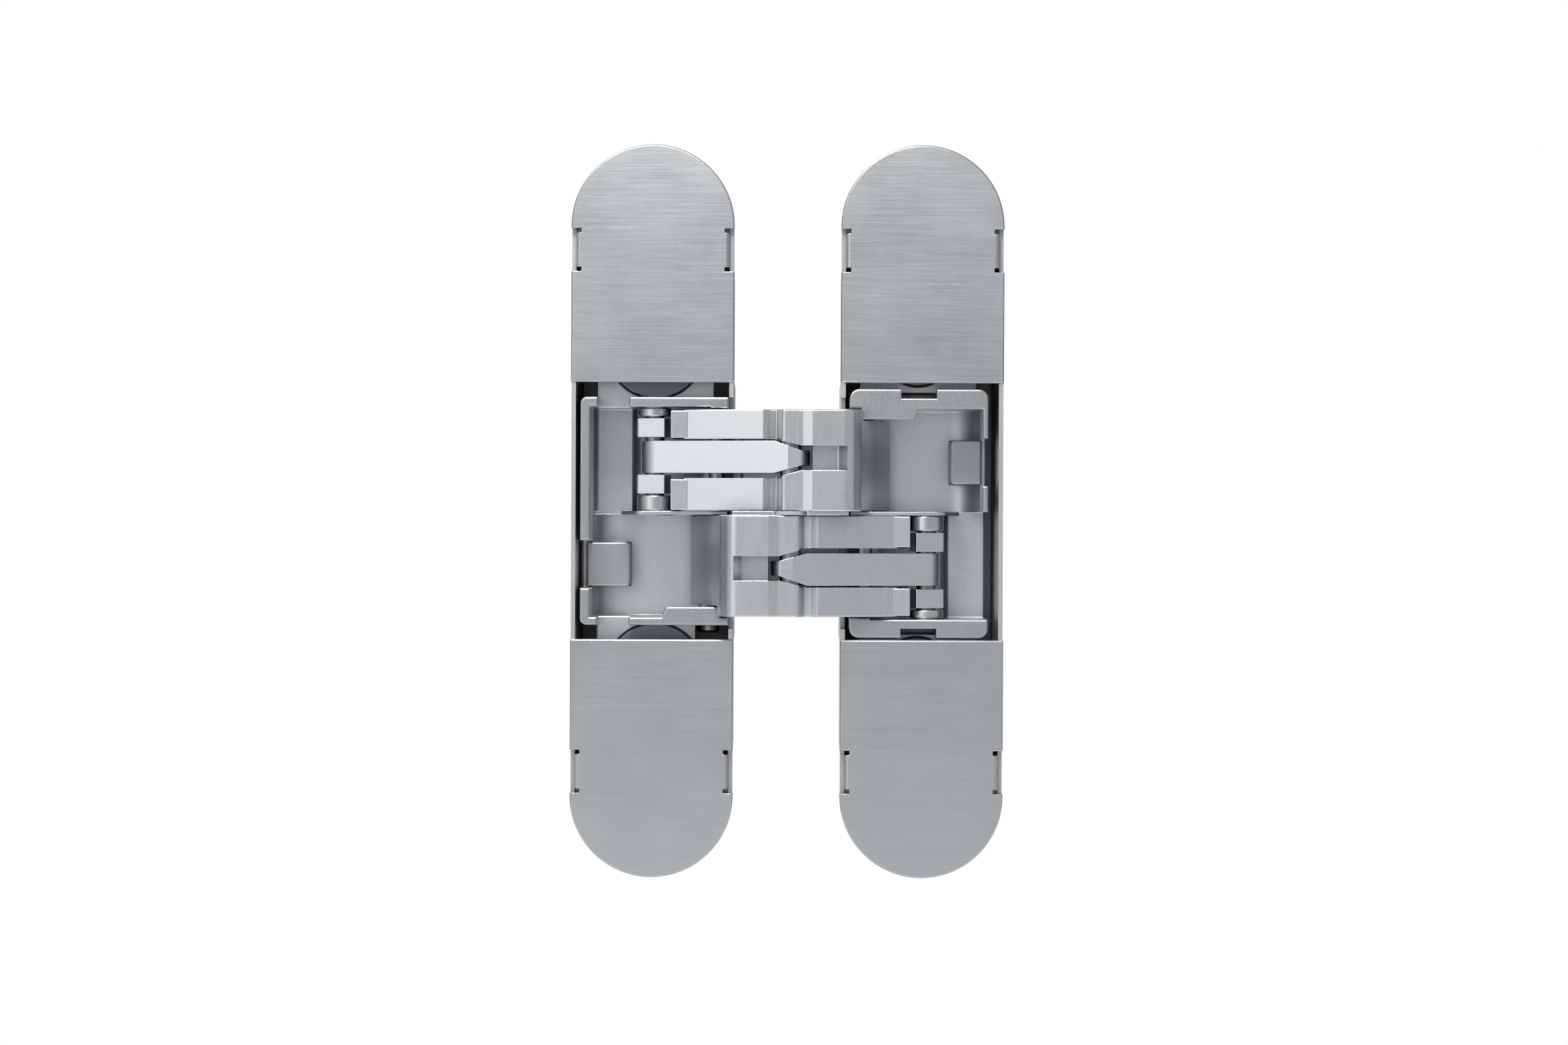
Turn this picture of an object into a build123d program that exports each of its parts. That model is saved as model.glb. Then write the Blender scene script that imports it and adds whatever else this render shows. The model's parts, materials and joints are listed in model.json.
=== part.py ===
from build123d import *
import math
import os

# Concealed door hinge, adjustable, shown opened to 180 degrees.
# Two mortise bodies stand side by side, 16 mm apart. Z is the hinge axis, X runs across
# from the frame side (left) to the door side (right), Y points into the mortises.
# The origin is the middle of the frame side's screw pattern, on the plane it seats on.

# Overall sizes in millimetres
plate_length = 110.0
plate_width = 24.5
body_gap = 16.0
window_height = 38.6
seat_depth = 5.0

# Cover plates
cover_thickness = 1.2
cover_overhang = 0.1
cover_bevel = 0.2
tab_from_end = 19.1
tab_notch_length = 6.5
tab_relief = 0.7
tab_thickness = 0.75
tab_depth = 4.6
tab_bend = 0.6
tab_fit = 0.05

# Mortise bodies
wall = 0.65
body_depth = 24.6
body_floor = 1.2
rim_front = 0.3
flange_floor_front = 2.0
shoulder_from_end = 15.0
shoulder_wall = 0.8
shoulder_corner = 5.0
shelf_front = 10.05
shelf_thickness = 3.0
core_beyond_window = 2.7
core_wall = 1.2
core_corner = 3.0
arm_notch_depth = 4.2
arm_notch_margin = 1.9

# Wood screw holes
screw_spacing_x = 11.0
screw_from_end = 9.0
screw_hole = 4.4
screw_head = 8.4

# Linkage seen along Z, in each body's own (u, v): u is 0 at the gap edge, v is the depth
pivot_u = -4.5
pivot_v = 12.0
centre_v = -2.0
slide_u = -12.5
slide_v = 4.0
closed_gap = 4.0
mechanism_shift_x = 0.5
mechanism_shift_z = -0.3

# Pins and bores
pivot_pin_r = 1.75
centre_pin_r = 1.6
slide_pin_r = 1.5
roller_r = 2.6
roller_track_r = 2.0
rivet_r = 1.25
running_fit = 0.04
press_fit = 0.01
track_fit = 0.08

# Arm heights along the hinge axis, from the plane between the two arms
arm_inner = 0.3
arm_below_window = 3.8
inner_cheek = 4.9
outer_cheek = 4.4
blade_gap_low = 0.8
blade_gap_high = 0.3
channel_inset_low = 0.4
channel_inset_high = 0.7
channel_floor_v = -2.9
channel_end = 7.2
channel_ramp = 1.3
slot_floor_v = 0.5
slot_floor_start = 0.1
arm_half = 2.25
cheek_bevel = 2.4
cheek_from_pin = 2.9
arm_edge = 0.18
tie_end = 8.4
tie_thickness = 0.9
tie_lap = 0.8
tie_gap = 0.1

# Arm outline, measured from the centre pin towards the fixed pivot
boss_r = 2.7
elbow_top_v = -4.7
elbow_end = 10.5
hub_top_v = -4.25
hub_half = 1.9
groove_start = -4.1
groove_v = -2.5
lip_swing_r = 13.6
lip_swing_inset = 1.6
blade_taper_from = -2.5
blade_tip = 1.65
blade_tip_half = 1.1
blade_nose = 3.0
blade_end_round = 3.0
rivet_along = 11.5
cheek_round = 0.4
cheek_foot_round = 0.3
cheek_back_round = 0.6
belly_start = 4.5
belly_turn = 1.0
belly_end = 3.5
belly_wall = 0.8
belly_round = 2.0
boss_front = 1.0
boss_fillet = 3.0
arc_spare = 0.05
root_step = 1.4
root_round = 1.5
elbow_drop = 2.1
elbow_shoulder = 1.6
elbow_round = 1.8
hub_run = 1.3
hub_back = 1.2
hub_round = 0.6
groove_side = 1.0
groove_fall = 0.1
groove_round = 0.3
groove_edge = 0.2
blade_top_end = 0.4
blade_edge = 0.3
blade_nose_rise = 1.8
blade_nose_round = 0.5
blade_heel = 1.2
blade_floor_gap = 0.45
blade_belly = 2.2
blade_belly_round = 1.5

# Spacers on the slide pin
spacer_half = 2.28
spacer_side_gap = 0.3
spacer_thickness = 2.8
spacer_round = 1.2

# Carriages
carriage_front = 0.3
carriage_back_gap = 0.1
carriage_base_v = 17.0
end_wall_slide = 1.5
end_wall_pivot = 1.2
slide_pocket_gap = 0.4
pivot_pocket_gap = 0.2
door_end_from_cover = 0.6
pocket_floor_v = 15.3
ledge_v = 14.9
ledge_u = -16.2
channel_floor = 1.4
floor_fillet = 4.2
plate_half = 0.25
plate_front_v = 1.4
plate_end_u = -17.6
plate_seat = 0.4
plate_short = 0.2
slit_fit = 0.02
rim_edge = 0.28
lip_start_u = -10.6
lip_end_u = -2.6
lip_slope = 0.7
lip_inset = 1.6
lip_back_v = 2.6
pad_u = -4.0
pad_height = 0.25
stop_near_z = 4.5
stop_far_z = 11.2
stop_front_v = 10.4
stop_near_u = -16.4
stop_short = 0.6
stop_seat = 0.8
end_notch_start_u = -21.0
end_notch_end_u = -16.2
guide_gap = 0.05
pivot_pin_beyond = 1.3
pivot_pin_inner = 4.5

# Adjusters: shares of the room between the window and the shoulder's end
ear_front = 6.4
ear_back = 10.0
ear_half_width = 8.8
disc_wall = 1.39975
ear_corner = 2.5
ear_short_frame = 3.0
ear_short_door = 1.3
disc_place_share = 0.2416
frame_disc_share = 0.3575
door_disc_share = 0.261
clamp_from_shoulder = 4.4
disc_below_ear = 0.05
eccentric_offset = 2.8
eccentric_pin_r = 2.0
eccentric_pin_length = 2.6
eccentric_socket = 4.0
socket_depth = 2.4
clamp_shank_r = 1.75
clamp_head_r = 2.9
clamp_head_height = 2.0
clamp_head_gap = 0.03
clamp_socket = 3.0
clamp_slot_r = 1.95
height_travel = 1.4
side_travel_in = 0.5
side_travel_out = 1.5
travel_spare = 0.1
lobe_notch_width = 5.4
lobe_notch_depth = 1.45
lobe_void = 1.05
lobe_corner = 1.4
lobe_notch_corner = 0.7

# Places that follow from the sizes above
face_y = -seat_depth
frame_x = 0.0
door_x = plate_width + body_gap
half_plate = plate_width / 2
half_gap = body_gap / 2
mirror_x = half_plate + half_gap + mechanism_shift_x
body_half = half_plate - cover_overhang
inner_half = body_half - wall
window_half = window_height / 2
shoulder_half = plate_length / 2 - shoulder_from_end
core_half = window_half + core_beyond_window
tab_from_middle = plate_length / 2 - tab_from_end
screw_z = plate_length / 2 - screw_from_end
pivot = (pivot_u, pivot_v)
far_pivot = (2 * half_gap - pivot_u, pivot_v)
centre = (half_gap, centre_v)
slide = (slide_u, slide_v)

arm_outer = window_half - arm_below_window
slot_low = arm_inner + inner_cheek
slot_high = arm_outer - outer_cheek
blade_low = slot_low + blade_gap_low
blade_high = slot_high - blade_gap_high
channel_low = blade_low + channel_inset_low
channel_high = blade_high - channel_inset_high
lip_swing_z = arm_outer - lip_swing_inset
spacer_low = (blade_low - spacer_side_gap - spacer_thickness, blade_low - spacer_side_gap)
spacer_high = (blade_high + 2 * spacer_side_gap, blade_high + 2 * spacer_side_gap + spacer_thickness)

carriage_depth = body_depth - body_floor - carriage_back_gap
channel_depth_v = carriage_depth - channel_floor
slide_pocket_z = arm_outer + slide_pocket_gap
pivot_pocket_z = arm_outer + pivot_pocket_gap
lip_z = pivot_pocket_z - lip_inset
door_end = window_half - door_end_from_cover

adjuster_room = shoulder_half - window_half
eccentric_z = window_half + disc_place_share * adjuster_room
clamp_z = shoulder_half - clamp_from_shoulder

# What differs between the two carriages: far side, gap side, hollow's wall, ends, disc, ear
frame_carriage = dict(
    far=-23.6,
    near=-1.3,
    wall=-22.1,
    end_slide=slide_pocket_z + end_wall_slide,
    end_pivot=pivot_pocket_z + end_wall_pivot,
    disc=frame_disc_share * adjuster_room,
    ear_half=frame_disc_share * adjuster_room + disc_wall,
    ear=shoulder_half - ear_short_frame,
)
door_carriage = dict(
    far=-21.7,
    near=-0.85,
    wall=-20.85,
    end_slide=door_end,
    end_pivot=door_end,
    disc=door_disc_share * adjuster_room,
    ear_half=ear_half_width,
    ear=shoulder_half - ear_short_door,
)


def turned(point, angle):
    """The vector turned by an angle in the plane seen along the hinge axis."""
    c, s = math.cos(angle), math.sin(angle)
    return (c * point[0] - s * point[1], s * point[0] + c * point[1])


def fold():
    """Swing of an arm about its fixed pivot, and the ratio of the centre joint to it."""
    reach = (centre[0] - pivot[0], centre[1] - pivot[1])
    length = math.hypot(*reach)
    drop = -closed_gap / 2 - pivot[1]
    across = -math.sqrt(length**2 - drop**2)
    swing = math.atan2(reach[1], reach[0]) - math.atan2(drop, across)
    return swing, (math.pi - 2 * swing) / swing


swing, centre_ratio = fold()


def slide_path(share):
    """Place of the slide pin in its body when the fold is at this share of its swing."""
    angle = -swing * share
    arm = turned((centre[0] - pivot[0], centre[1] - pivot[1]), angle)
    rest = turned((slide[0] - centre[0], slide[1] - centre[1]), angle * (1 + centre_ratio))
    return (pivot[0] + arm[0] + rest[0], pivot[1] + arm[1] + rest[1])


# The arm's straight half, from the centre pin to the slide pin
slope = math.atan2(slide[1] - centre[1], centre[0] - slide[0])
arm_length = math.hypot(slide[0] - centre[0], slide[1] - centre[1])


def along(distance, front):
    """A point by its distance from the centre pin and its height above the arm's line."""
    u = centre[0] - distance * math.cos(slope) - front * math.sin(slope)
    v = centre[1] + distance * math.sin(slope) - front * math.cos(slope)
    return (u, v)


def from_centre(s, v):
    """A point by its distance from the centre pin towards the fixed pivot."""
    return (centre[0] + s, v)


def flat_v(s):
    """Depth of the arm's front flat at a place on its straight half."""
    return centre[1] - s * math.tan(slope) - arm_half / math.cos(slope)


def rounded(corners):
    """A face from corners (x, y) or (x, y, radius), each radius a tangent arc."""
    joints = []
    for i, corner in enumerate(corners):
        here = Vector(corner[0], corner[1])
        before = Vector(*corners[i - 1][:2])
        after = Vector(*corners[(i + 1) % len(corners)][:2])
        radius = corner[2] if len(corner) > 2 else 0
        if radius == 0:
            joints.append((here, None, here))
            continue
        back = (before - here).normalized()
        on = (after - here).normalized()
        half = math.acos(max(-1, min(1, back.dot(on)))) / 2
        run = radius / math.tan(half)
        middle = here + (back + on).normalized() * (radius / math.sin(half) - radius)
        joints.append((here + back * run, middle, here + on * run))
    edges = []
    for i, (start, middle, end) in enumerate(joints):
        if middle is not None:
            edges.append(Edge.make_three_point_arc(start, middle, end))
        following = joints[(i + 1) % len(joints)][0]
        if (following - end).length > 1e-6:
            edges.append(Edge.make_line(end, following))
    return make_face(edges)


def prism(corners, low, high):
    """An outline in the plane seen along Z, raised from one height to another."""
    return Pos(0, 0, low) * extrude(rounded(corners), amount=high - low, dir=(0, 0, 1))


def depth_prism(corners, front, back):
    """An outline seen from the front, as (x, z) corners, cut straight into the depth."""
    upright = Plane(origin=(0, 0, 0), x_dir=(1, 0, 0), z_dir=(0, -1, 0))
    face = upright * rounded(corners)
    return Pos(0, front, 0) * extrude(face, amount=back - front, dir=(0, 1, 0))


def block(x, y, z):
    """A box between two limits on each axis."""
    size = (x[1] - x[0], y[1] - y[0], z[1] - z[0])
    middle = ((x[0] + x[1]) / 2, (y[0] + y[1]) / 2, (z[0] + z[1]) / 2)
    return Pos(*middle) * Box(*size)


def rod(place, radius, low, high):
    """A round bar along the hinge axis."""
    return Pos(place[0], place[1], (low + high) / 2) * Cylinder(radius, high - low)


def bore_in(x, z, radius, front, back):
    """A round bar along the depth."""
    bar = Rot(90, 0, 0) * Cylinder(radius, back - front)
    return Pos(x, (front + back) / 2, z) * bar


def strip_along_path(half_width):
    """The curved strip that the slide pin sweeps, with round ends."""
    shares = [i / 12 for i in range(13)]
    places = [slide_path(s) for s in shares]
    sides = ([], [])
    for share, place in zip(shares, places):
        ahead = slide_path(share + 0.001)
        behind = slide_path(share - 0.001)
        run = Vector(ahead[0] - behind[0], ahead[1] - behind[1]).normalized()
        across = Vector(-run.Y, run.X) * half_width
        sides[0].append(Vector(*place) + across)
        sides[1].append(Vector(*place) - across)
    first = Edge.make_spline(sides[0])
    second = Edge.make_spline(sides[1])
    closers = [Edge.make_line(sides[0][i], sides[1][i]) for i in (0, -1)]
    strip = make_face([first, closers[1], second, closers[0]])
    for place in (places[0], places[-1]):
        strip += Pos(*place) * Circle(half_width)
    return strip


def track(half_width, low, high):
    """The slide pin's track, from one height to another."""
    face = strip_along_path(half_width)
    return Pos(0, 0, low) * extrude(face, amount=high - low, dir=(0, 0, 1))


def arm_fork():
    """Cast arm: two cheeks, the elbow that joins them, and the boss of the fixed pivot."""
    root = far_pivot[0] - centre[0]
    cheek_end = arm_length - cheek_from_pin
    belly_v = slot_floor_v + belly_wall
    outline = [
        (*along(cheek_end - cheek_bevel, arm_half), cheek_round),
        (*along(cheek_end, arm_half - cheek_bevel), cheek_foot_round),
        (*along(cheek_end, -arm_half), cheek_back_round),
        (*along(belly_start, -arm_half), belly_round),
        (*from_centre(-belly_turn, belly_v), belly_round),
        (*from_centre(belly_end, belly_v), belly_round),
        (*from_centre(root - boss_r, slot_floor_v + boss_front), boss_fillet),
        (*from_centre(root - boss_r, pivot_v + boss_r), boss_r),
        (*from_centre(root + boss_r, pivot_v + boss_r), boss_r - arc_spare),
        (*from_centre(root + boss_r, pivot_v - root_step), root_round),
        (*from_centre(elbow_end, elbow_top_v + elbow_drop), root_round),
        (*from_centre(elbow_end - elbow_shoulder, elbow_top_v), elbow_round),
        (*from_centre(hub_half + hub_run, elbow_top_v), hub_round),
        (*from_centre(hub_half, hub_top_v), hub_round),
        (*from_centre(-hub_back, hub_top_v), hub_round),
        (*from_centre(groove_start / 2, groove_v), groove_round),
        (*from_centre(groove_start + groove_side, groove_v - groove_fall), groove_edge),
        (*from_centre(groove_start, flat_v(groove_start)), groove_edge),
    ]
    fork = prism(outline, arm_inner, arm_outer)
    sides = fork.faces().sort_by(Axis.Z)
    fork = chamfer(sides[0].edges() + sides[-1].edges(), arm_edge)
    beyond = slide_u - 2 * arm_half
    slot = [
        (beyond, slot_low),
        (centre[0] + blade_taper_from, slot_low),
        (centre[0] + blade_tip, channel_low),
        (centre[0] + blade_nose + 0.3, channel_low),
        (centre[0] + blade_nose + 0.3, channel_high),
        (centre[0] + blade_tip, channel_high),
        (centre[0] + blade_taper_from, slot_high),
        (beyond, slot_high),
    ]
    fork -= depth_prism(slot, 2 * elbow_top_v, slot_floor_v)
    fork -= block((beyond, centre[0] + slot_floor_start), (0, pivot_v), (slot_low, slot_high))
    fork += cheek_tie()
    channel = [
        (*from_centre(blade_nose, 2 * elbow_top_v), 0),
        (*from_centre(blade_nose, channel_floor_v), 0),
        (*from_centre(channel_end, channel_floor_v), 0.5),
        (*from_centre(channel_end + channel_ramp, elbow_top_v + 0.1), 0.3),
        (*from_centre(channel_end + channel_ramp, 2 * elbow_top_v), 0),
    ]
    fork -= prism(channel, channel_low, channel_high)
    fork -= rod(far_pivot, lip_swing_r, lip_swing_z, arm_outer + 1)
    fork -= rod(centre, centre_pin_r + running_fit, arm_inner - 1, arm_outer + 1)
    fork -= rod(far_pivot, pivot_pin_r + running_fit, arm_inner - 1, arm_outer + 1)
    fork -= rod(along(rivet_along, 0), rivet_r + press_fit, arm_inner - 1, arm_outer + 1)
    return fork


def cheek_tie():
    """Cast web that ties the two cheeks behind the blade, where the bodies' gap lies behind."""
    def strip(front, back, low, high):
        outline = [
            (*along(slot_floor_start, front), 0),
            (*along(tie_end, front), 0),
            (*along(tie_end, back), 0.4),
            (*along(slot_floor_start, back), 0),
        ]
        return prism(outline, low, high)
    back = -arm_half - tie_gap - tie_thickness
    web = strip(tie_lap - arm_half, back, slot_low - tie_lap, slot_high + tie_lap)
    return web - strip(2 * arm_half, -arm_half - tie_gap, slot_low, slot_high)


def arm_blade():
    """Steel blade in the fork's slot: an eye for the slide pin, and a tapered nose."""
    outline = [
        (*along(arm_length + arm_half, arm_half), blade_end_round),
        (*from_centre(-blade_top_end, flat_v(-blade_top_end)), blade_edge),
        (*from_centre(blade_tip, hub_top_v), blade_edge),
        (*from_centre(blade_nose, -blade_nose_rise), blade_nose_round),
        (*from_centre(blade_heel, slot_floor_v - blade_floor_gap), 2 * blade_nose_round),
        (*along(blade_belly, -arm_half), blade_belly_round),
        (*along(arm_length + arm_half, -arm_half), 2 * arm_half - blade_end_round - 2 * arc_spare),
    ]
    blade = prism(outline, blade_low, blade_high)
    middle = (channel_low + channel_high) / 2
    start = centre[0] + blade_taper_from
    tip = centre[0] + blade_tip
    beyond = slide_u - 2 * arm_half
    plan = [
        (beyond, blade_low),
        (start, blade_low),
        (tip, middle - blade_tip_half),
        (tip + 2, middle - blade_tip_half),
        (tip + 2, middle + blade_tip_half),
        (tip, middle + blade_tip_half),
        (start, blade_high),
        (beyond, blade_high),
    ]
    blade &= depth_prism(plan, 2 * elbow_top_v, pivot_v)
    blade -= rod(centre, centre_pin_r + running_fit, 0, arm_outer)
    blade -= rod(slide, slide_pin_r + press_fit, 0, arm_outer)
    blade -= rod(along(rivet_along, 0), rivet_r + press_fit, 0, arm_outer)
    return blade


def pin_spacers():
    """Two square steel blocks on the slide pin, one on each side of the blade."""
    outline = [
        (*along(arm_length - spacer_half, arm_half), 0.15),
        (*along(arm_length - spacer_half, -arm_half), spacer_round),
        (*along(arm_length + spacer_half, -arm_half), spacer_round),
        (*along(arm_length + spacer_half, arm_half), 0.5),
    ]
    pair = [prism(outline, low, high) for low, high in (spacer_low, spacer_high)]
    return Compound([one - rod(slide, slide_pin_r + press_fit, 0, arm_outer) for one in pair])


def pin_top():
    """Height at which the slide pin and its outer roller end, inside the end wall's track."""
    return slide_pocket_z + 0.7 * end_wall_slide


def slide_pin():
    """Pin at the arm's sliding end: its ends run in the track plate and the end wall."""
    pin = rod(slide, slide_pin_r, guide_gap - plate_half, pin_top())
    return chamfer(pin.edges(), 0.1)


def slide_rollers():
    """Two rollers on the slide pin; the outer one has a neck that runs in the end wall's track."""
    inner = rod(slide, roller_r, arm_inner + guide_gap, spacer_low[0] - spacer_side_gap)
    outer = rod(slide, roller_r, spacer_high[1] + spacer_side_gap, slide_pocket_z - 0.15)
    rings = []
    for ring in (inner, outer):
        ring = chamfer(ring.edges(), 0.15)
        if ring.center().Z > slide_pocket_z / 2:
            ring += rod(slide, roller_track_r, spacer_high[1] + 2 * spacer_side_gap, pin_top())
        rings.append(ring - rod(slide, slide_pin_r + press_fit, -1, 2 * arm_outer))
    return Compound(rings)


def arm_rivet():
    """Rivet that holds the blade between the cheeks."""
    return rod(along(rivet_along, 0), rivet_r, arm_inner + 0.5, arm_outer - 0.5)


def centre_pin():
    """Pin through both arms."""
    return chamfer(rod(centre, centre_pin_r, 0.2 - arm_outer, arm_outer - 0.2).edges(), 0.2)


def centre_washer():
    """Thin washer between the two arms."""
    ring = rod(centre, arm_half + 0.3, slit_fit - arm_inner, arm_inner - slit_fit)
    return ring - rod(centre, centre_pin_r + running_fit, -1, 1)


def pin_start():
    """How far the pivot pin reaches beyond the middle, through the frame side's end wall."""
    return pivot_pocket_z + end_wall_pivot + pivot_pin_beyond


def pivot_pin():
    """Pin of the fixed pivot, held in the carriage's end wall and its middle block."""
    pin = rod(pivot, pivot_pin_r, -pin_start(), pivot_pin_inner)
    return chamfer(pin.edges(), 0.3)


def slide_pocket(carriage):
    """Hollow that the other arm's sliding end folds into."""
    wall_u = carriage["wall"]
    if carriage is door_carriage:
        # The door side's ledge is open to the far side
        wall_u = carriage["far"] - 1
    return [
        (wall_u, -2),
        (wall_u, ledge_v, 1.0),
        (ledge_u, ledge_v),
        (ledge_u, channel_depth_v, 1.0),
        (-4.9, channel_depth_v, 1.0),
        (-4.9, 17.0, 1.5),
        (-7.7, 13.2, 3.0),
        (-8.3, 9.5, 2.0),
        (-5.5, 5.4, 3.0),
        (2, 3.6),
        (2, -2),
    ]


def pivot_pocket(carriage):
    """Hollow that the arm on the fixed pivot folds into."""
    wall_u = carriage["wall"]
    return [(wall_u, -2), (wall_u, pocket_floor_v, floor_fillet), (2, pocket_floor_v), (2, -2)]


def plate_outline(carriage, grow):
    """Track plate: it stands between the two hollows, let into the casting below."""
    low = plate_end_u - grow
    high = carriage["near"] - plate_short
    bottom = channel_depth_v + plate_seat + grow
    return low, high, bottom


def track_plate(carriage):
    """Stamped steel plate with the slot that guides the slide pin's inner end."""
    low, high, bottom = plate_outline(carriage, 0)
    outline = [
        (low, slide_v + roller_r, 1.5),
        (low, bottom),
        (high, bottom),
        (high, plate_front_v),
        (slide_u - roller_r, plate_front_v, 1.5),
    ]
    plate = prism(outline, -plate_half, plate_half)
    plate -= track(slide_pin_r + track_fit, -1, 1)
    return plate - rod(pivot, pivot_pin_r + running_fit, -1, 1)


def stop_space(carriage, grow):
    """Room of the stop block, grown by a fit."""
    far = carriage["far"] + stop_short
    return block(
        (far - grow, stop_near_u + grow),
        (stop_front_v, pocket_floor_v + stop_seat + grow),
        (-stop_far_z - grow, grow - stop_near_z),
    )


def stop_block(carriage):
    """Block on the hollow's floor that the folded arm comes to lie against."""
    stop = stop_space(carriage, 0)
    near = stop.edges().filter_by(Axis.Y).group_by(Axis.X)[-1]
    stop = fillet(near, 0.6)
    front = stop.faces().sort_by(Axis.Y)[0].edges()
    return fillet(front, 0.3)


def carriage_block(carriage, base):
    """The whole moving block of one body, in that body's own (u, v)."""
    far, near, wall_u = carriage["far"], carriage["near"], carriage["wall"]
    ends = (-carriage["end_pivot"], carriage["end_slide"])
    casting = block((far, near), (carriage_front, carriage_base_v + 0.5), ends)
    round_off = lobe_corner if carriage is door_carriage else 1.0
    upright = casting.edges().filter_by(Axis.Y)
    casting = fillet(upright.group_by(Axis.X)[0], round_off)
    if carriage is door_carriage:
        casting = fillet(casting.edges().filter_by(Axis.Y).group_by(Axis.X)[-1], round_off)
    foot = block(base, (carriage_base_v, carriage_depth), ends)
    foot = chamfer(foot.faces().sort_by(Axis.Y)[-1].edges(), 0.5)
    casting += foot
    casting -= prism(slide_pocket(carriage), plate_half, slide_pocket_z)
    casting -= prism(pivot_pocket(carriage), -pivot_pocket_z, -plate_half)
    # Between the hollows: the track plate's slit, and an open step beyond the plate's end
    low, high, bottom = plate_outline(carriage, slit_fit)
    slit = [(low, -2), (low, bottom), (2, bottom), (2, -2)]
    half = plate_half + slit_fit
    casting -= prism(slit, -half, half)
    inside = wall_u if carriage is frame_carriage else far - 1
    casting -= block((inside, low + 0.1), (-1, ledge_v), (-half, half))
    # Lip under the arm's outer cheek, and the pad opposite
    lip = [
        (lip_start_u - lip_slope - 0.7, -pivot_pocket_z - 0.5),
        (lip_start_u - lip_slope, -pivot_pocket_z),
        (lip_start_u, -lip_z, 0.4),
        (lip_end_u, -lip_z, 0.4),
        (lip_end_u, -pivot_pocket_z - 0.5),
    ]
    casting += depth_prism(lip, carriage_front, lip_back_v)
    pad_z = (slide_pocket_z - pad_height, slide_pocket_z + 0.2)
    casting += block((pad_u, near), (carriage_front, lip_back_v), pad_z)
    # The rim stands back where the stop block is
    rim_gap = (-stop_far_z - 0.15, 0.3 - stop_near_z)
    casting -= block((far - 1, wall_u + 0.5), (-1, stop_front_v + 1), rim_gap)
    if carriage is frame_carriage:
        notch = (end_notch_start_u, end_notch_end_u)
        for z in ((slide_pocket_z - 0.3, ends[1] + 1), (ends[0] - 1, 0.3 - pivot_pocket_z)):
            casting -= block(notch, (-1, ear_front), z)
    casting = soften_front(casting)
    casting -= track(roller_track_r + track_fit, slide_pocket_z - 1, pin_top() + 0.15)
    casting -= rod(pivot, pivot_pin_r + press_fit, -carriage["end_pivot"] - 1, pivot_pin_inner + 0.1)
    return casting - stop_space(carriage, slit_fit)


def soften_front(casting):
    """Rounds every edge of the casting's front face."""
    front = [e for e in casting.edges() if abs(e.center().Y - carriage_front) < 1e-3]
    front = [e for e in front if e.bounding_box().size.Y < 1e-3]
    return fillet(front, rim_edge)


def placed(shape, side):
    """Moves a piece from its body's own (u, v) to its place; the door side is turned over."""
    at_frame = Pos(mirror_x - half_gap, face_y, mechanism_shift_z) * shape
    if side == "frame":
        return at_frame
    centre_line = Pos(mirror_x, 0, mechanism_shift_z)
    return centre_line * Rot(0, 180, 0) * centre_line.inverse() * at_frame


def carriage_middle(side):
    """Middle of a carriage across its body, in X."""
    sizes = frame_carriage if side == "frame" else door_carriage
    middle = (sizes["far"] + sizes["near"]) / 2
    reach = half_gap - middle
    return mirror_x - reach if side == "frame" else mirror_x + reach


def slot_across(x, z, radius, front, back, run_x, run_z):
    """A slot through the depth, drawn out by a run to each side along X or Z."""
    slot = bore_in(x - run_x[0], z - run_z[0], radius, front, back)
    slot += bore_in(x + run_x[1], z + run_z[1], radius, front, back)
    if run_x[0] + run_x[1] > 0:
        return slot + block((x - run_x[0], x + run_x[1]), (front, back), (z - radius, z + radius))
    return slot + block((x - radius, x + radius), (front, back), (z - run_z[0], z + run_z[1]))


def pin_clearance(sizes):
    """Corner of the frame side's lower ear that is cut away round the pivot pin's end."""
    x = placed_x(pivot_u - pivot_pin_r - 0.1)
    low = -sizes["end_pivot"] + mechanism_shift_z
    return block((x, half_plate), (face_y, face_y + ear_back + 1), (-window_half - 1.2, low))


def placed_x(u):
    """X of a place given by its u in the frame side's body."""
    return mirror_x - half_gap + u


def carriage(side):
    """Carriage of one body, with the adjuster ears that reach under both cover plates."""
    sizes = frame_carriage if side == "frame" else door_carriage
    reach = inner_half - guide_gap
    if side == "frame":
        base = (frame_x - reach - placed_x(0), frame_x + reach - placed_x(0))
    else:
        base = (sizes["far"], sizes["near"])
    body = placed(carriage_block(sizes, base), side)
    x = carriage_middle(side)
    y = (face_y + ear_front, face_y + ear_back)
    ends = {1: sizes["end_slide"], -1: sizes["end_pivot"]}
    if side == "door":
        ends = {1: sizes["end_pivot"], -1: sizes["end_slide"]}
    for way in (1, -1):
        inner_end = ends[way] * way + mechanism_shift_z
        z = sorted((inner_end - guide_gap * way, sizes["ear"] * way))
        half = sizes["ear_half"]
        ear = block((x - half, x + half), y, z)
        outer = ear.edges().filter_by(Axis.Y).group_by(Axis.Z)[-1 if way > 0 else 0]
        body += fillet(outer, ear_corner)
        if side == "door":
            body -= lobe_notch(x, inner_end, way)
        body -= bore_in(x, eccentric_z * way, sizes["disc"] + running_fit, *y)
        if side == "frame":
            runs = ((0, 0), (height_travel + travel_spare, height_travel + travel_spare))
        else:
            runs = ((side_travel_out + travel_spare, side_travel_in + travel_spare), (0, 0))
        body -= slot_across(x, clamp_z * way, clamp_slot_r, *y, *runs)
    if side == "frame":
        body -= pin_clearance(sizes)
    return body


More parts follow.
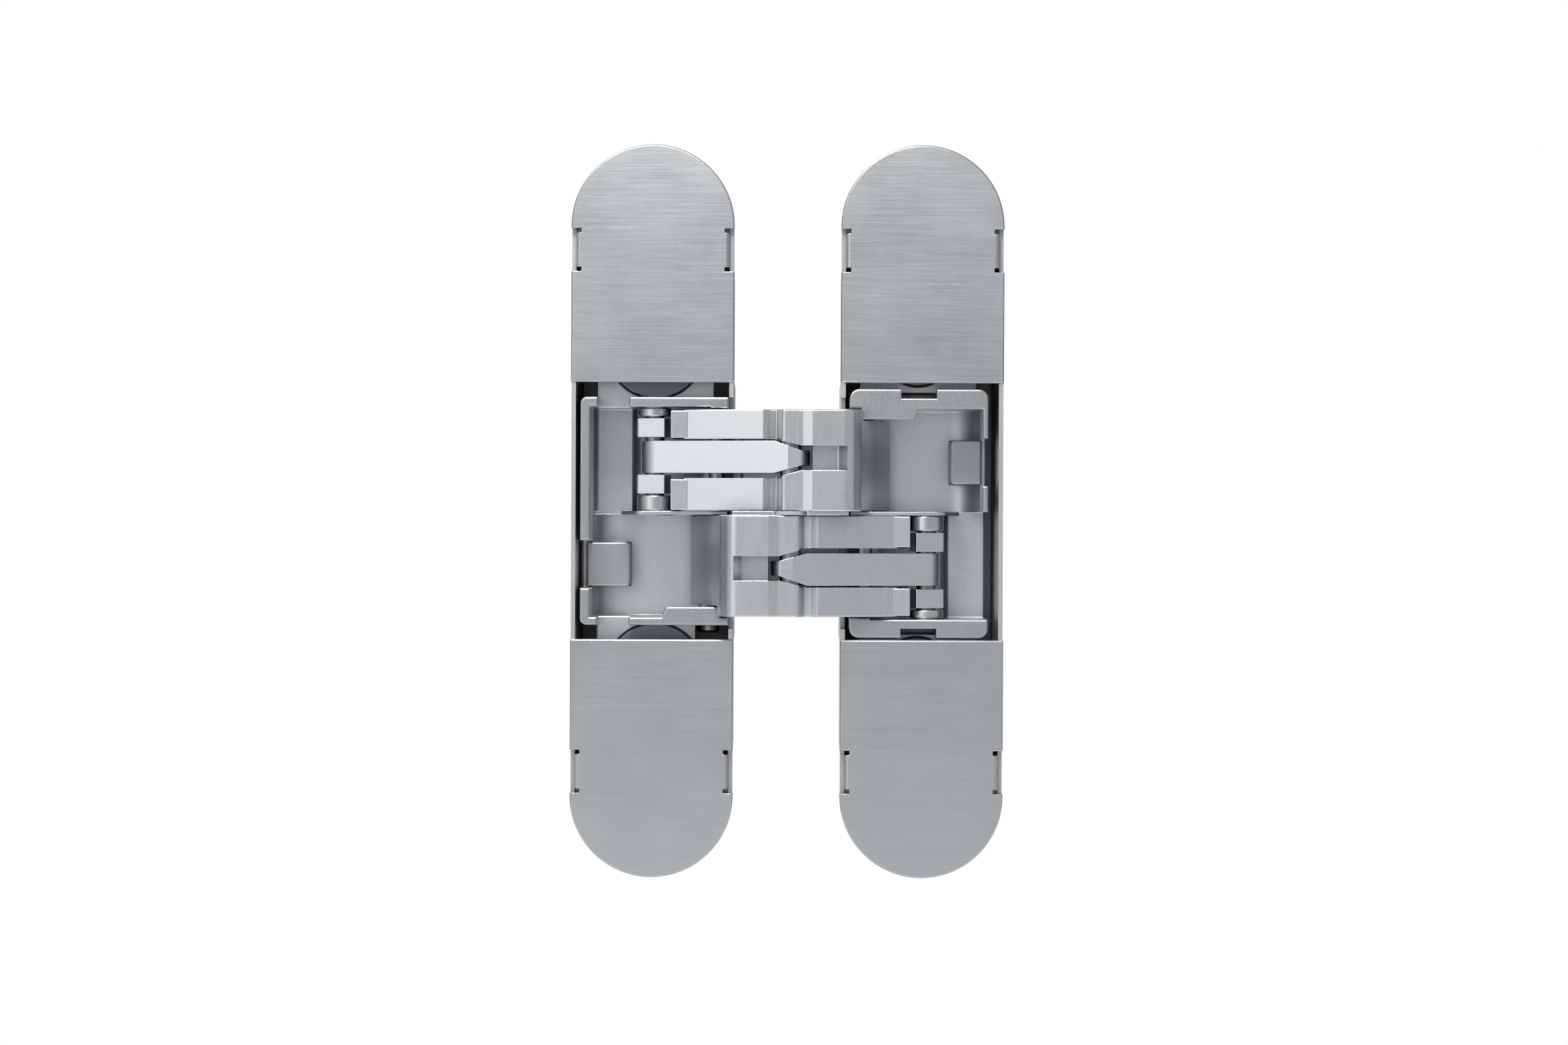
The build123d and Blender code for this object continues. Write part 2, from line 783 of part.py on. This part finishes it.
def lobe_notch(x, end, way):
    """Notch in the door side's end walls, with a deep slit between wall and ear."""
    half = lobe_notch_width / 2
    z = sorted((end - lobe_notch_depth * way, end + way))
    notch = block((x - half, x + half), (face_y - 1, face_y + ear_front), z)
    z = sorted((end - lobe_notch_depth * way, end - (lobe_notch_depth - lobe_void) * way))
    return notch + block((x - half, x + half), (face_y - 1, face_y + ledge_v), z)


def stadium(half_width, half_length, front, back):
    """A bar with half-round ends, seen from the front."""
    corners = [
        (-half_width, -half_length, half_width),
        (half_width, -half_length, half_width),
        (half_width, half_length, half_width),
        (-half_width, half_length, half_width),
    ]
    return depth_prism(corners, front, back)


def rounded_bar(half_width, half_length, radius, front, back):
    """A bar with rounded corners, seen from the front."""
    corners = [
        (-half_width, -half_length, radius),
        (half_width, -half_length, radius),
        (half_width, half_length, radius),
        (-half_width, half_length, radius),
    ]
    return depth_prism(corners, front, back)


def housing(side):
    """Stepped mortise body: thin flange ends, shoulders for the adjusters, deep middle."""
    plate_half_length = plate_length / 2 - cover_overhang
    shell = stadium(body_half, plate_half_length, cover_thickness, seat_depth)
    shell += rounded_bar(body_half, shoulder_half, shoulder_corner, seat_depth - 1, shelf_front + shelf_thickness)
    shell += rounded_bar(body_half, core_half, core_corner, seat_depth - 1, body_depth)
    shell += block((-body_half, body_half), (rim_front, seat_depth - 1), (-window_half, window_half))
    shell -= stadium(inner_half, plate_half_length - wall, -1, flange_floor_front)
    shell -= rounded_bar(inner_half, shoulder_half - shoulder_wall, shoulder_corner - 2, -1, shelf_front)
    shell -= rounded_bar(inner_half, core_half - core_wall, 0.5, -1, body_depth - body_floor)
    # The arms pass over the gap side of the window
    gap_way = 1 if side == "frame" else -1
    reach = arm_outer + arm_notch_margin
    notch_x = sorted((gap_way * (inner_half - 0.5), gap_way * (body_half + 1)))
    notch_z = (mechanism_shift_z - reach, mechanism_shift_z + reach)
    shell -= block(notch_x, (-1, arm_notch_depth), notch_z)
    for x in (-screw_spacing_x / 2, screw_spacing_x / 2):
        for z in (-screw_z, screw_z):
            shell -= wood_screw_hole(x, z)
    # Slots that the cover plates' tabs go into
    tab_z = (tab_from_middle + tab_relief - tab_fit, tab_from_middle + tab_notch_length - tab_relief + tab_fit)
    for way_x in (1, -1):
        for way_z in (1, -1):
            x = sorted((way_x * (inner_half - tab_thickness - tab_fit), way_x * inner_half))
            z = sorted((way_z * tab_z[0], way_z * tab_z[1]))
            shell -= block(x, (0, seat_depth + 1), z)
    # Adjuster pin slots and clamp screw threads in the shelves
    middle = carriage_middle(side) - (frame_x if side == "frame" else door_x)
    deep = (shelf_front - 1, shelf_front + shelf_thickness + 1)
    radius = eccentric_pin_r + track_fit
    for way in (1, -1):
        if side == "frame":
            start = middle + eccentric_offset * math.sqrt(1 - (height_travel / eccentric_offset) ** 2)
            shell -= slot_across(start, eccentric_z * way, radius, *deep, (0.05, middle + eccentric_offset - start + 0.05), (0, 0))
        else:
            centre_x = middle + (side_travel_out - side_travel_in) / 2
            half_run = (side_travel_out + side_travel_in) / 2
            near = eccentric_offset * math.sqrt(1 - (half_run / eccentric_offset) ** 2)
            run = sorted((way * (near - 0.05), way * (eccentric_offset + 0.05)))
            z = eccentric_z * way + run[0]
            shell -= slot_across(centre_x, z, radius, *deep, (0, 0), (0, run[1] - run[0]))
        shell -= bore_in(carriage_middle(side) - (frame_x if side == "frame" else door_x), clamp_z * way, clamp_shank_r + press_fit, *deep)
    place_x = frame_x if side == "frame" else door_x
    return Pos(place_x, face_y, 0) * shell


def wood_screw_hole(x, z):
    """Countersunk hole through the flange floor."""
    hole = bore_in(x, z, screw_hole / 2, 0, seat_depth + 1)
    drop = (screw_head - screw_hole) / 2
    cone = Rot(90, 0, 0) * Cone(screw_hole / 2, screw_head / 2, drop)
    hole += Pos(x, flange_floor_front + drop / 2, z) * cone
    return hole + bore_in(x, z, screw_head / 2, 0, flange_floor_front)


def cover_plate():
    """Clip-on plate for the upper end, with two bent tabs, in its body's own X."""
    inner_edge = window_half
    outer = plate_length / 2
    corners = [
        (-half_plate, inner_edge),
        (half_plate, inner_edge),
        (half_plate, outer, half_plate),
        (-half_plate, outer, half_plate),
    ]
    plate = depth_prism(corners, 0, cover_thickness)
    plate = chamfer(plate.faces().sort_by(Axis.Y)[0].edges(), cover_bevel)
    notch_z = (tab_from_middle, tab_from_middle + tab_notch_length)
    tab_z = (notch_z[0] + tab_relief, notch_z[1] - tab_relief)
    for way in (1, -1):
        edge = sorted((way * inner_half, way * (half_plate + 1)))
        plate -= block(edge, (-1, cover_thickness + 1), notch_z)
        for z in ((notch_z[0], tab_z[0]), (tab_z[1], notch_z[1])):
            relief = sorted((way * (inner_half - tab_thickness), way * (inner_half + 1)))
            plate -= block(relief, (-1, cover_thickness + 1), z)
        x = sorted((way * (inner_half - tab_thickness), way * inner_half))
        tab = block(x, (0, tab_depth), tab_z)
        bend = tab.edges().filter_by(Axis.Z).group_by(Axis.Y)[0].sort_by(Axis.X)[-1 if way > 0 else 0]
        tab = fillet(bend, tab_bend)
        plate -= block(x, (-1, cover_thickness + 1), tab_z)
        plate += tab
    return plate


def placed_cover(side, level):
    """A cover plate at one of its four places; the lower ones are turned half round."""
    turn = Rot(0, 180, 0) if level == "lower" else Rot(0, 0, 0)
    return Pos(frame_x if side == "frame" else door_x, face_y, 0) * turn * cover_plate()


def hexagon_socket(across, front, depth):
    """A hexagon socket cut into a head from the front."""
    face = Plane(origin=(0, 0, 0), x_dir=(1, 0, 0), z_dir=(0, -1, 0)) * RegularPolygon(across / 2, 6, major_radius=False)
    return Pos(0, front, 0) * extrude(face, amount=depth, dir=(0, 1, 0))


def eccentric(side, level):
    """Adjuster disc in a carriage ear; its pin stands in a slot of the body's shelf."""
    way = 1 if level == "upper" else -1
    radius = (frame_carriage if side == "frame" else door_carriage)["disc"]
    front = ear_front + disc_below_ear
    disc = bore_in(0, 0, radius, front, ear_back)
    disc = chamfer(disc.edges(), 0.3)
    disc -= hexagon_socket(eccentric_socket, front, socket_depth)
    disc += bore_in(eccentric_offset, 0, eccentric_pin_r, ear_back - 0.5, ear_back + eccentric_pin_length)
    if side == "frame":
        turn = 0
    else:
        lean = math.degrees(math.asin((side_travel_out - side_travel_in) / 2 / eccentric_offset))
        turn = -90 + lean if way > 0 else 90 - lean
    return Pos(carriage_middle(side), face_y, eccentric_z * way) * Rot(0, turn, 0) * disc


def clamp_screws(side):
    """Two socket screws that clamp a carriage's ears to the shelves."""
    screws = []
    for way in (1, -1):
        head_back = ear_front - clamp_head_gap
        head = bore_in(0, 0, clamp_head_r, head_back - clamp_head_height, head_back)
        head = chamfer(head.edges(), 0.25)
        head -= hexagon_socket(clamp_socket, head_back - clamp_head_height, 0.6 * clamp_head_height)
        head += bore_in(0, 0, clamp_shank_r, head_back - 0.5, shelf_front + shelf_thickness)
        screws.append(Pos(carriage_middle(side), face_y, clamp_z * way) * head)
    return Compound(screws)


def write(name, shape):
    """One file for each named piece."""
    shape.label = name
    export_step(shape, os.path.join("parts", name + ".step"))


def main():
    os.makedirs("parts", exist_ok=True)
    names = {"frame": "left", "door": "right"}
    carriages = {"frame": frame_carriage, "door": door_carriage}
    for side, word in names.items():
        write(word + "_housing", housing(side))
        write(word + "_carriage", carriage(side))
        write(word + "_track_plate", placed(track_plate(carriages[side]), side))
        write(word + "_stop_block", placed(stop_block(carriages[side]), side))
        write(word + "_pivot_pin", placed(pivot_pin(), side))
        write(word + "_slide_pin", placed(slide_pin(), side))
        write(word + "_slide_rollers", placed(slide_rollers(), side))
        write(word + "_pin_spacers", placed(pin_spacers(), side))
        write(word + "_clamp_screws", clamp_screws(side))
        for level in ("upper", "lower"):
            write(word + "_" + level + "_cover", placed_cover(side, level))
            write(word + "_" + level + "_eccentric", eccentric(side, level))
    # The arm that slides in the frame side is the upper one, the other is the same turned over
    for side, word in (("frame", "upper"), ("door", "lower")):
        write(word + "_arm_fork", placed(arm_fork(), side))
        write(word + "_arm_blade", placed(arm_blade(), side))
        write(word + "_arm_rivet", placed(arm_rivet(), side))
    write("centre_pin", placed(centre_pin(), "frame"))
    write("centre_washer", placed(centre_washer(), "frame"))


main()
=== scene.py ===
import json
import math

import bmesh
import bpy
from mathutils import Matrix, Vector

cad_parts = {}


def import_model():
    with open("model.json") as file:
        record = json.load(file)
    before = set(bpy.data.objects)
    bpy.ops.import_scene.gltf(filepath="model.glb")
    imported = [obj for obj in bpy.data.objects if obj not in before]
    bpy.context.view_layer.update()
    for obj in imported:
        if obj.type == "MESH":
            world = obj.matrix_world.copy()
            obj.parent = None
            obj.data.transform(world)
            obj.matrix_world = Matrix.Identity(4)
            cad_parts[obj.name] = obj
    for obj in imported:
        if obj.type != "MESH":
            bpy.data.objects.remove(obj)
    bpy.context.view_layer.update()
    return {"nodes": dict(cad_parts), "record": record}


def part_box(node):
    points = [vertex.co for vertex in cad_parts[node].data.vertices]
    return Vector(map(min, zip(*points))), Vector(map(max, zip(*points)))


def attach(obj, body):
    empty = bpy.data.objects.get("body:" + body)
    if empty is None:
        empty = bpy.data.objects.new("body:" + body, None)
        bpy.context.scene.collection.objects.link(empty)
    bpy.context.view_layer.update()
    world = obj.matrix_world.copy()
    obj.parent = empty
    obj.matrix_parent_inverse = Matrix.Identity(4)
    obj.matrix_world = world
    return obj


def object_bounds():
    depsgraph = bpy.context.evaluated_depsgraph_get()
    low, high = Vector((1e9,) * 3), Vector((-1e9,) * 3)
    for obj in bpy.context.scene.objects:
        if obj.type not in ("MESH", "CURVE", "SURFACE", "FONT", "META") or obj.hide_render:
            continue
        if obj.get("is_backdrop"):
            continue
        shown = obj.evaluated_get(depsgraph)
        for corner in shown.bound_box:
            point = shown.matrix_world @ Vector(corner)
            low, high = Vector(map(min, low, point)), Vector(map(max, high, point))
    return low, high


# Sizes in metres, in the same frame as the CAD: X across, Y into the mortises, Z up.
MM = 0.001

# The photograph's view: straight at the cover plates, from far away, turned a little
VIEW_CENTRE = Vector((19.8 * MM, -5.0 * MM, -1.7 * MM))
VIEW_DISTANCE = 620 * MM
VIEW_WIDTH = 235.2 * MM
VIEW_ROLL = math.radians(0.22)
SENSOR = 36.0

# Surroundings: the room's light is a little cool, and comes from a bright band on the left.
# The band is given as places from left to right and the brightness at each.
COOL = (0.966, 1.0, 1.031)
ROOM_STOPS = ((0.0, 0.3), (0.08, 0.5), (0.19, 1.17), (0.27, 1.17),
              (0.37, 0.72), (0.5, 0.38), (0.64, 0.31), (1.0, 0.36))
ROOM_LOW, ROOM_HIGH = 0.78, 1.25
ROOM_TURN = 0.6
WHITE = (1.0, 1.0, 1.0, 1.0)
LAMP_PLACE = (-4 * MM, -120 * MM, 174 * MM)
LAMP_AIM = (20 * MM, 0, 52 * MM)
LAMP_SIZE = 80 * MM
LAMP_WATTS = 0.44
FLOOR_LEVEL = -70 * MM
FLOOR_HALF = 1.5
FLOOR_COLOUR = (0.8, 0.8, 0.8, 1.0)

# Depths between which painted shade changes the tone: the carriages' front faces are painted darker than
# their hollows, and the arms are painted darker from the carriages' front faces down to their elbows, as
# painted shade deep in the hollows
FRONT_FACE = -4.7 * MM
FRONT_FADE = 1.5 * MM
DEEP_FACE = -1.5 * MM

# How far a rounded normal has to lean from the true one to count as an edge, as their dot product
EDGE_START, EDGE_FULL = 0.999, 0.85

# Finer forms on the arms, as (x, y) outlines in millimetres from the centre pin on the upper arm,
# with heights from the plane between the arms: the level lands at the ends of the two cheeks,
# the web that closes the slot further out than the cast one, and the raised strip that rubs
# along the other arm and closes the gap to it
LAND = ((-15.4, 2.16), (-18.0, 2.16), (-18.0, 4.9), (-17.7, 5.3), (-16.05, 2.4))
LOW_CHEEK_HEIGHT = (0.45, 5.05)
HIGH_CHEEK_HEIGHT = (11.25, 15.35)
STRIP = ((2.65, -2.15), (8.7, -2.15), (8.7, -1.3), (2.65, -1.3))
STRIP_HEIGHT = (-0.27, 0.32)
WEB = ((-7.28, 4.65), (-9.1, 5.18), (-8.88, 5.95), (-7.06, 5.41))
WEB_HEIGHT = (4.9, 11.4)
SMALL_ROUND = 0.12 * MM
ARM_FORMS = (
    ("low_land", LAND, LOW_CHEEK_HEIGHT, SMALL_ROUND),
    ("high_land", LAND, HIGH_CHEEK_HEIGHT, SMALL_ROUND),
    ("slot_web", WEB, WEB_HEIGHT, 0),
    ("rub_strip", STRIP, STRIP_HEIGHT, 0),
)


def write_sizes(last):
    """Defines a helper that turns a box into plain lists of numbers, and does nothing more."""
    def plain(bounds):
        return [[float(c) for c in corner] for corner in bounds]


# Materials

def node(tree, kind, **inputs):
    """A new node with its named inputs set or linked."""
    new = tree.nodes.new(kind)
    for name, value in inputs.items():
        socket = new.inputs[name.replace("_", " ")]
        if isinstance(value, bpy.types.NodeSocket):
            tree.links.new(value, socket)
        else:
            socket.default_value = value
    return new


def maths(tree, operation, a, b=0.0, clamp=False):
    """One arithmetic step between two values or sockets."""
    new = tree.nodes.new("ShaderNodeMath")
    new.operation = operation
    new.use_clamp = clamp
    for socket, value in zip(new.inputs, (a, b)):
        if isinstance(value, bpy.types.NodeSocket):
            tree.links.new(value, socket)
        else:
            socket.default_value = value
    return new.outputs[0]


def span(tree, value, low, high, to_low, to_high):
    """Maps a value from one range to another, clamped."""
    new = tree.nodes.new("ShaderNodeMapRange")
    tree.links.new(value, new.inputs["Value"])
    for name, number in (("From Min", low), ("From Max", high), ("To Min", to_low), ("To Max", to_high)):
        new.inputs[name].default_value = number
    return new.outputs["Result"]


def noise(tree, place, size, detail=3.0, rough=0.55):
    """Noise whose features have the given size along each axis, in metres."""
    stretch = node(tree, "ShaderNodeMapping", Vector=place)
    stretch.inputs["Scale"].default_value = [1.0 / s for s in size]
    made = node(tree, "ShaderNodeTexNoise", Vector=stretch.outputs[0], Scale=1.0, Detail=detail,
                Roughness=rough)
    return made.outputs["Fac"]


def edge_mask(tree, radius):
    """1 on edges, 0 on flats, and the rounded normal that it is read from."""
    round_off = node(tree, "ShaderNodeBevel", Radius=radius)
    round_off.samples = 6
    plain = tree.nodes.new("ShaderNodeNewGeometry")
    dot = tree.nodes.new("ShaderNodeVectorMath")
    dot.operation = "DOT_PRODUCT"
    tree.links.new(round_off.outputs[0], dot.inputs[0])
    tree.links.new(plain.outputs["Normal"], dot.inputs[1])
    mask = span(tree, dot.outputs["Value"], EDGE_START, EDGE_FULL, 0.0, 1.0)
    return mask, round_off.outputs[0]


def metal(name, colour, rough, streak=None, streak_mix=0.0, grain=0.15 * MM, grain_mix=0.05,
          blotch_mix=0.05, edge=0.12 * MM, edge_wear_and_highlight=0.12, lift=0.4e-6, shade=0.0, reach=1.5 * MM,
          front=1.0, deep=1.0, metallic=1.0):
    """Satin or brushed metal: streaks, fine grain, slow colour changes, and edges painted lighter, partly as
    wear and partly as painted highlight.

    shade paints shade into hollows within the given reach, front paints shade onto the carriages' front
    faces, and deep onto what lies far in; each is a share of the colour. lift is the height of the surface's
    relief.
    """
    made = bpy.data.materials.new(name)
    made.use_nodes = True
    tree = made.node_tree
    shader = tree.nodes["Principled BSDF"]
    place = tree.nodes.new("ShaderNodeTexCoord").outputs["Object"]
    fine = noise(tree, place, (grain, grain, grain), 4.0, 0.6)
    slow = noise(tree, place, (9 * MM, 9 * MM, 9 * MM), 3.0, 0.5)
    level = maths(tree, "MULTIPLY", maths(tree, "SUBTRACT", fine, 0.5), 2 * grain_mix)
    drift = maths(tree, "MULTIPLY", maths(tree, "SUBTRACT", slow, 0.5), 2 * blotch_mix)
    level = maths(tree, "ADD", level, drift)
    bump = fine
    if streak is not None:
        lines = noise(tree, place, streak, 3.0, 0.65)
        lined = maths(tree, "MULTIPLY", maths(tree, "SUBTRACT", lines, 0.5), 2 * streak_mix)
        level = maths(tree, "ADD", level, lined)
        bump = maths(tree, "ADD", maths(tree, "MULTIPLY", fine, 0.4), lines)
    edges, soft_normal = edge_mask(tree, edge)
    # Edges are painted lighter, partly as wear and partly as a painted highlight where rounded edges catch
    # the light.
    wear_and_highlight = maths(tree, "MULTIPLY", edges, edge_wear_and_highlight)
    gain = maths(tree, "ADD", maths(tree, "ADD", level, wear_and_highlight), 1.0)
    # Painted shade: hollows and gaps are darkened by ambient occlusion within the reach.
    if shade > 0:
        hollow = node(tree, "ShaderNodeAmbientOcclusion", Distance=reach)
        hollow.samples = 6
        tone = span(tree, hollow.outputs["AO"], 0.2, 0.95, 1.0 - shade, 1.0)
        gain = maths(tree, "MULTIPLY", gain, tone)
    # Painted shade by depth: the carriages' front faces and what lies far in are darkened.
    depth = node(tree, "ShaderNodeSeparateXYZ", Vector=place).outputs["Y"]
    if front < 1:
        tone = span(tree, depth, FRONT_FACE, FRONT_FACE + FRONT_FADE, front, 1.0)
        gain = maths(tree, "MULTIPLY", gain, tone)
    if deep < 1:
        tone = span(tree, depth, FRONT_FACE, DEEP_FACE, 1.0, deep)
        gain = maths(tree, "MULTIPLY", gain, tone)
    scaled = tree.nodes.new("ShaderNodeVectorMath")
    scaled.operation = "SCALE"
    scaled.inputs[0].default_value = colour
    tree.links.new(gain, scaled.inputs["Scale"])
    tree.links.new(scaled.outputs[0], shader.inputs["Base Color"])
    shader.inputs["Metallic"].default_value = metallic
    spread = maths(tree, "ADD", maths(tree, "MULTIPLY", level, 0.9), rough)
    spread = maths(tree, "SUBTRACT", spread, maths(tree, "MULTIPLY", edges, 0.06), clamp=True)
    tree.links.new(spread, shader.inputs["Roughness"])
    raised = node(tree, "ShaderNodeBump", Strength=1.0, Distance=lift, Height=bump, Normal=soft_normal)
    tree.links.new(raised.outputs[0], shader.inputs["Normal"])
    return made


def plastic(name, colour, rough, metallic=0.0):
    """Moulded plastic with a fine spark texture; metallic gives it a silver coat."""
    made = metal(name, colour, rough, grain=0.1 * MM, grain_mix=0.06, edge_wear_and_highlight=0.1, lift=2e-6,
                 metallic=metallic)
    made.node_tree.nodes["Principled BSDF"].inputs["IOR"].default_value = 1.48
    return made


def build_materials():
    """One material for each slot of the record."""
    across = (7 * MM, 0.13 * MM, 0.13 * MM)
    upright = (0.1 * MM, 0.1 * MM, 5 * MM)
    lengthways = (5 * MM, 0.5 * MM, 0.1 * MM)
    turned = (3 * MM, 3 * MM, 0.1 * MM)
    ground = (3 * MM, 3 * MM, 0.08 * MM)
    # shade, front and deep below are painted shade; the edge lightening is partly wear and partly painted
    # highlight.
    return {
        "cover_plate": metal("satin_cover", (0.507, 0.513, 0.519), 0.40, across, 0.11, edge_wear_and_highlight=0.3),
        "cast_body": metal("cast_body_coat", (0.60, 0.61, 0.62), 0.45, grain_mix=0.07, shade=0.5,
                           reach=3 * MM, lift=1.5e-6),
        "cast_carriage": metal("cast_carriage_coat", (0.72, 0.73, 0.74), 0.40, upright, 0.08,
                               grain=0.25 * MM, grain_mix=0.18, shade=0.35, reach=2.5 * MM,
                               front=0.66, edge=0.3 * MM, edge_wear_and_highlight=0.4, lift=3e-6),
        "cast_arm": metal("satin_arm", (0.745, 0.755, 0.765), 0.30, upright, 0.09, grain_mix=0.07, shade=0.65,
                          reach=3 * MM, edge=0.1 * MM, edge_wear_and_highlight=0.0, deep=0.62),
        "arm_blade": metal("satin_blade", (0.78, 0.79, 0.80), 0.28, lengthways, 0.06, shade=0.4, reach=2 * MM,
                           edge=0.1 * MM),
        "spacer_steel": metal("plated_spacer", (0.74, 0.75, 0.76), 0.3, lengthways, 0.05, shade=0.3),
        "roller_steel": metal("turned_roller", (0.72, 0.73, 0.74), 0.24, turned, 0.06, shade=0.3),
        "pin_steel": metal("ground_pin", (0.70, 0.70, 0.71), 0.25, ground, 0.05, shade=0.8,
                           reach=2 * MM),
        "track_steel": metal("stamped_track", (0.62, 0.63, 0.64), 0.35, lengthways, 0.05),
        "adjuster_zinc": metal("adjuster_disc", (0.30, 0.31, 0.32), 0.45, grain_mix=0.08),
        "screw_steel": metal("zinc_screw", (0.55, 0.55, 0.56), 0.32),
        "stop_plastic": plastic("stop_block_silver", (0.475, 0.482, 0.49), 0.45, metallic=0.85),
        "washer_plastic": plastic("washer_pale", (0.42, 0.42, 0.42), 0.4),
    }


def paint(record, nodes, materials):
    """Gives every CAD piece the material of its slot."""
    for part in record["subparts"]:
        shown = nodes[part["node"]]
        shown.data.materials.clear()
        shown.data.materials.append(materials[part["material_slot"]])


def arm_prism(name, way, outline, heights, rounding, material):
    """A prism on one arm; the lower arm is the upper one turned half round about Y."""
    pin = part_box("centre_pin")
    x, y = ((pin[0][i] + pin[1][i]) / 2 for i in (0, 1))
    plane = (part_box("lower_arm_fork")[1][2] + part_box("upper_arm_fork")[0][2]) / 2
    shape = bmesh.new()
    rings = []
    for height in heights:
        corners = [(x + way * px * MM, y + py * MM, plane + way * height * MM) for px, py in outline]
        rings.append([shape.verts.new(corner) for corner in corners])
    for ring in rings:
        shape.faces.new(ring)
    for i in range(len(outline)):
        j = (i + 1) % len(outline)
        shape.faces.new((rings[0][i], rings[0][j], rings[1][j], rings[1][i]))
    bmesh.ops.recalc_face_normals(shape, faces=shape.faces)
    mesh = bpy.data.meshes.new(name)
    shape.to_mesh(mesh)
    shape.free()
    mesh.materials.append(material)
    piece = bpy.data.objects.new(name, mesh)
    bpy.context.collection.objects.link(piece)
    if rounding:
        edges = piece.modifiers.new("small_round", "BEVEL")
        edges.width = rounding
        edges.segments = 2
    return piece


def dress_arms(material):
    """The lands, the web and the strip of each arm, which turn with it."""
    for arm, way in (("upper_arm", 1), ("lower_arm", -1)):
        for name, outline, heights, rounding in ARM_FORMS:
            piece = arm_prism(arm + "_" + name, way, outline, heights, rounding, material)
            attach(piece, arm)


# Surroundings

def white_to_camera(tree, shader, white, end_kind):
    """Ends a node tree with the shader, or with plain white where the camera looks at it."""
    seen = tree.nodes.new("ShaderNodeLightPath").outputs["Is Camera Ray"]
    mix = tree.nodes.new("ShaderNodeMixShader")
    for socket, source in zip(mix.inputs, (seen, shader.outputs[0], white.outputs[0])):
        tree.links.new(source, socket)
    end = tree.nodes.new(end_kind)
    tree.links.new(mix.outputs[0], end.inputs["Surface"])


def studio_world():
    """A room that is brighter on the left and above; the camera sees plain white."""
    world = bpy.data.worlds.new("studio")
    bpy.context.scene.world = world
    world.use_nodes = True
    tree = world.node_tree
    tree.nodes.clear()
    place = tree.nodes.new("ShaderNodeTexCoord").outputs["Generated"]
    way = node(tree, "ShaderNodeSeparateXYZ", Vector=place)
    ramp = tree.nodes.new("ShaderNodeValToRGB")
    side = span(tree, way.outputs["X"], -1.0, 1.0, 0.0, 1.0)
    tree.links.new(side, ramp.inputs["Fac"])
    marks = ramp.color_ramp.elements
    while len(marks) < len(ROOM_STOPS):
        marks.new(0.5)
    for mark, (at, value) in zip(marks, ROOM_STOPS):
        mark.position = at
        mark.color = (*(value * part for part in COOL), 1.0)
    rise = span(tree, way.outputs["Z"], -ROOM_TURN, ROOM_TURN, ROOM_LOW, ROOM_HIGH)
    light = node(tree, "ShaderNodeBackground", Color=ramp.outputs["Color"], Strength=rise)
    white = node(tree, "ShaderNodeBackground", Color=WHITE, Strength=1.0)
    white_to_camera(tree, light, white, "ShaderNodeOutputWorld")


def floor(level):
    """A pale floor under the hinge, plain white to the camera as in the photograph."""
    made = bpy.data.materials.new("pale_floor")
    made.use_nodes = True
    tree = made.node_tree
    tree.nodes.clear()
    dull = node(tree, "ShaderNodeBsdfDiffuse", Color=FLOOR_COLOUR)
    white = node(tree, "ShaderNodeEmission", Color=WHITE, Strength=1.0)
    white_to_camera(tree, dull, white, "ShaderNodeOutputMaterial")
    mesh = bpy.data.meshes.new("floor")
    corners = [(x * FLOOR_HALF, y * FLOOR_HALF, level) for x, y in ((-1, -1), (1, -1), (1, 1), (-1, 1))]
    mesh.from_pydata(corners, [], [(0, 1, 2, 3)])
    mesh.materials.append(made)
    shown = bpy.data.objects.new("floor", mesh)
    bpy.context.collection.objects.link(shown)
    shown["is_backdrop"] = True


def softbox(name, place, aim, size, watts):
    """A square soft light that points at a place."""
    lamp = bpy.data.lights.new(name, "AREA")
    lamp.shape = "SQUARE"
    lamp.size = size
    lamp.energy = watts
    shown = bpy.data.objects.new(name, lamp)
    bpy.context.collection.objects.link(shown)
    shown.location = place
    shown.rotation_euler = (Vector(aim) - Vector(place)).to_track_quat("-Z", "Y").to_euler()


def camera():
    """The photograph's camera."""
    made = bpy.data.cameras.new("camera")
    made.sensor_width = SENSOR
    made.sensor_fit = "HORIZONTAL"
    made.lens = SENSOR * VIEW_DISTANCE / VIEW_WIDTH
    made.clip_start = 0.01
    made.clip_end = 10.0
    shown = bpy.data.objects.new("camera", made)
    bpy.context.collection.objects.link(shown)
    back = Vector((0, -1, 0))
    up = Vector((-math.sin(VIEW_ROLL), 0, math.cos(VIEW_ROLL)))
    right = up.cross(back)
    turn = Matrix((right, up, back)).transposed().to_4x4()
    shown.matrix_world = Matrix.Translation(VIEW_CENTRE + back * VIEW_DISTANCE) @ turn
    bpy.context.scene.camera = shown


def main():
    """Paints the CAD pieces, adds the arms' finer forms and sets the photograph's scene."""
    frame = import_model()
    materials = build_materials()
    paint(frame["record"], frame["nodes"], materials)
    dress_arms(materials["cast_arm"])
    studio_world()
    floor(FLOOR_LEVEL)
    softbox("top_left", LAMP_PLACE, LAMP_AIM, LAMP_SIZE, LAMP_WATTS)
    camera()
    scene = bpy.context.scene
    scene.view_settings.view_transform = "Standard"
    scene.view_settings.look = "None"
    write_sizes(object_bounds())


main()
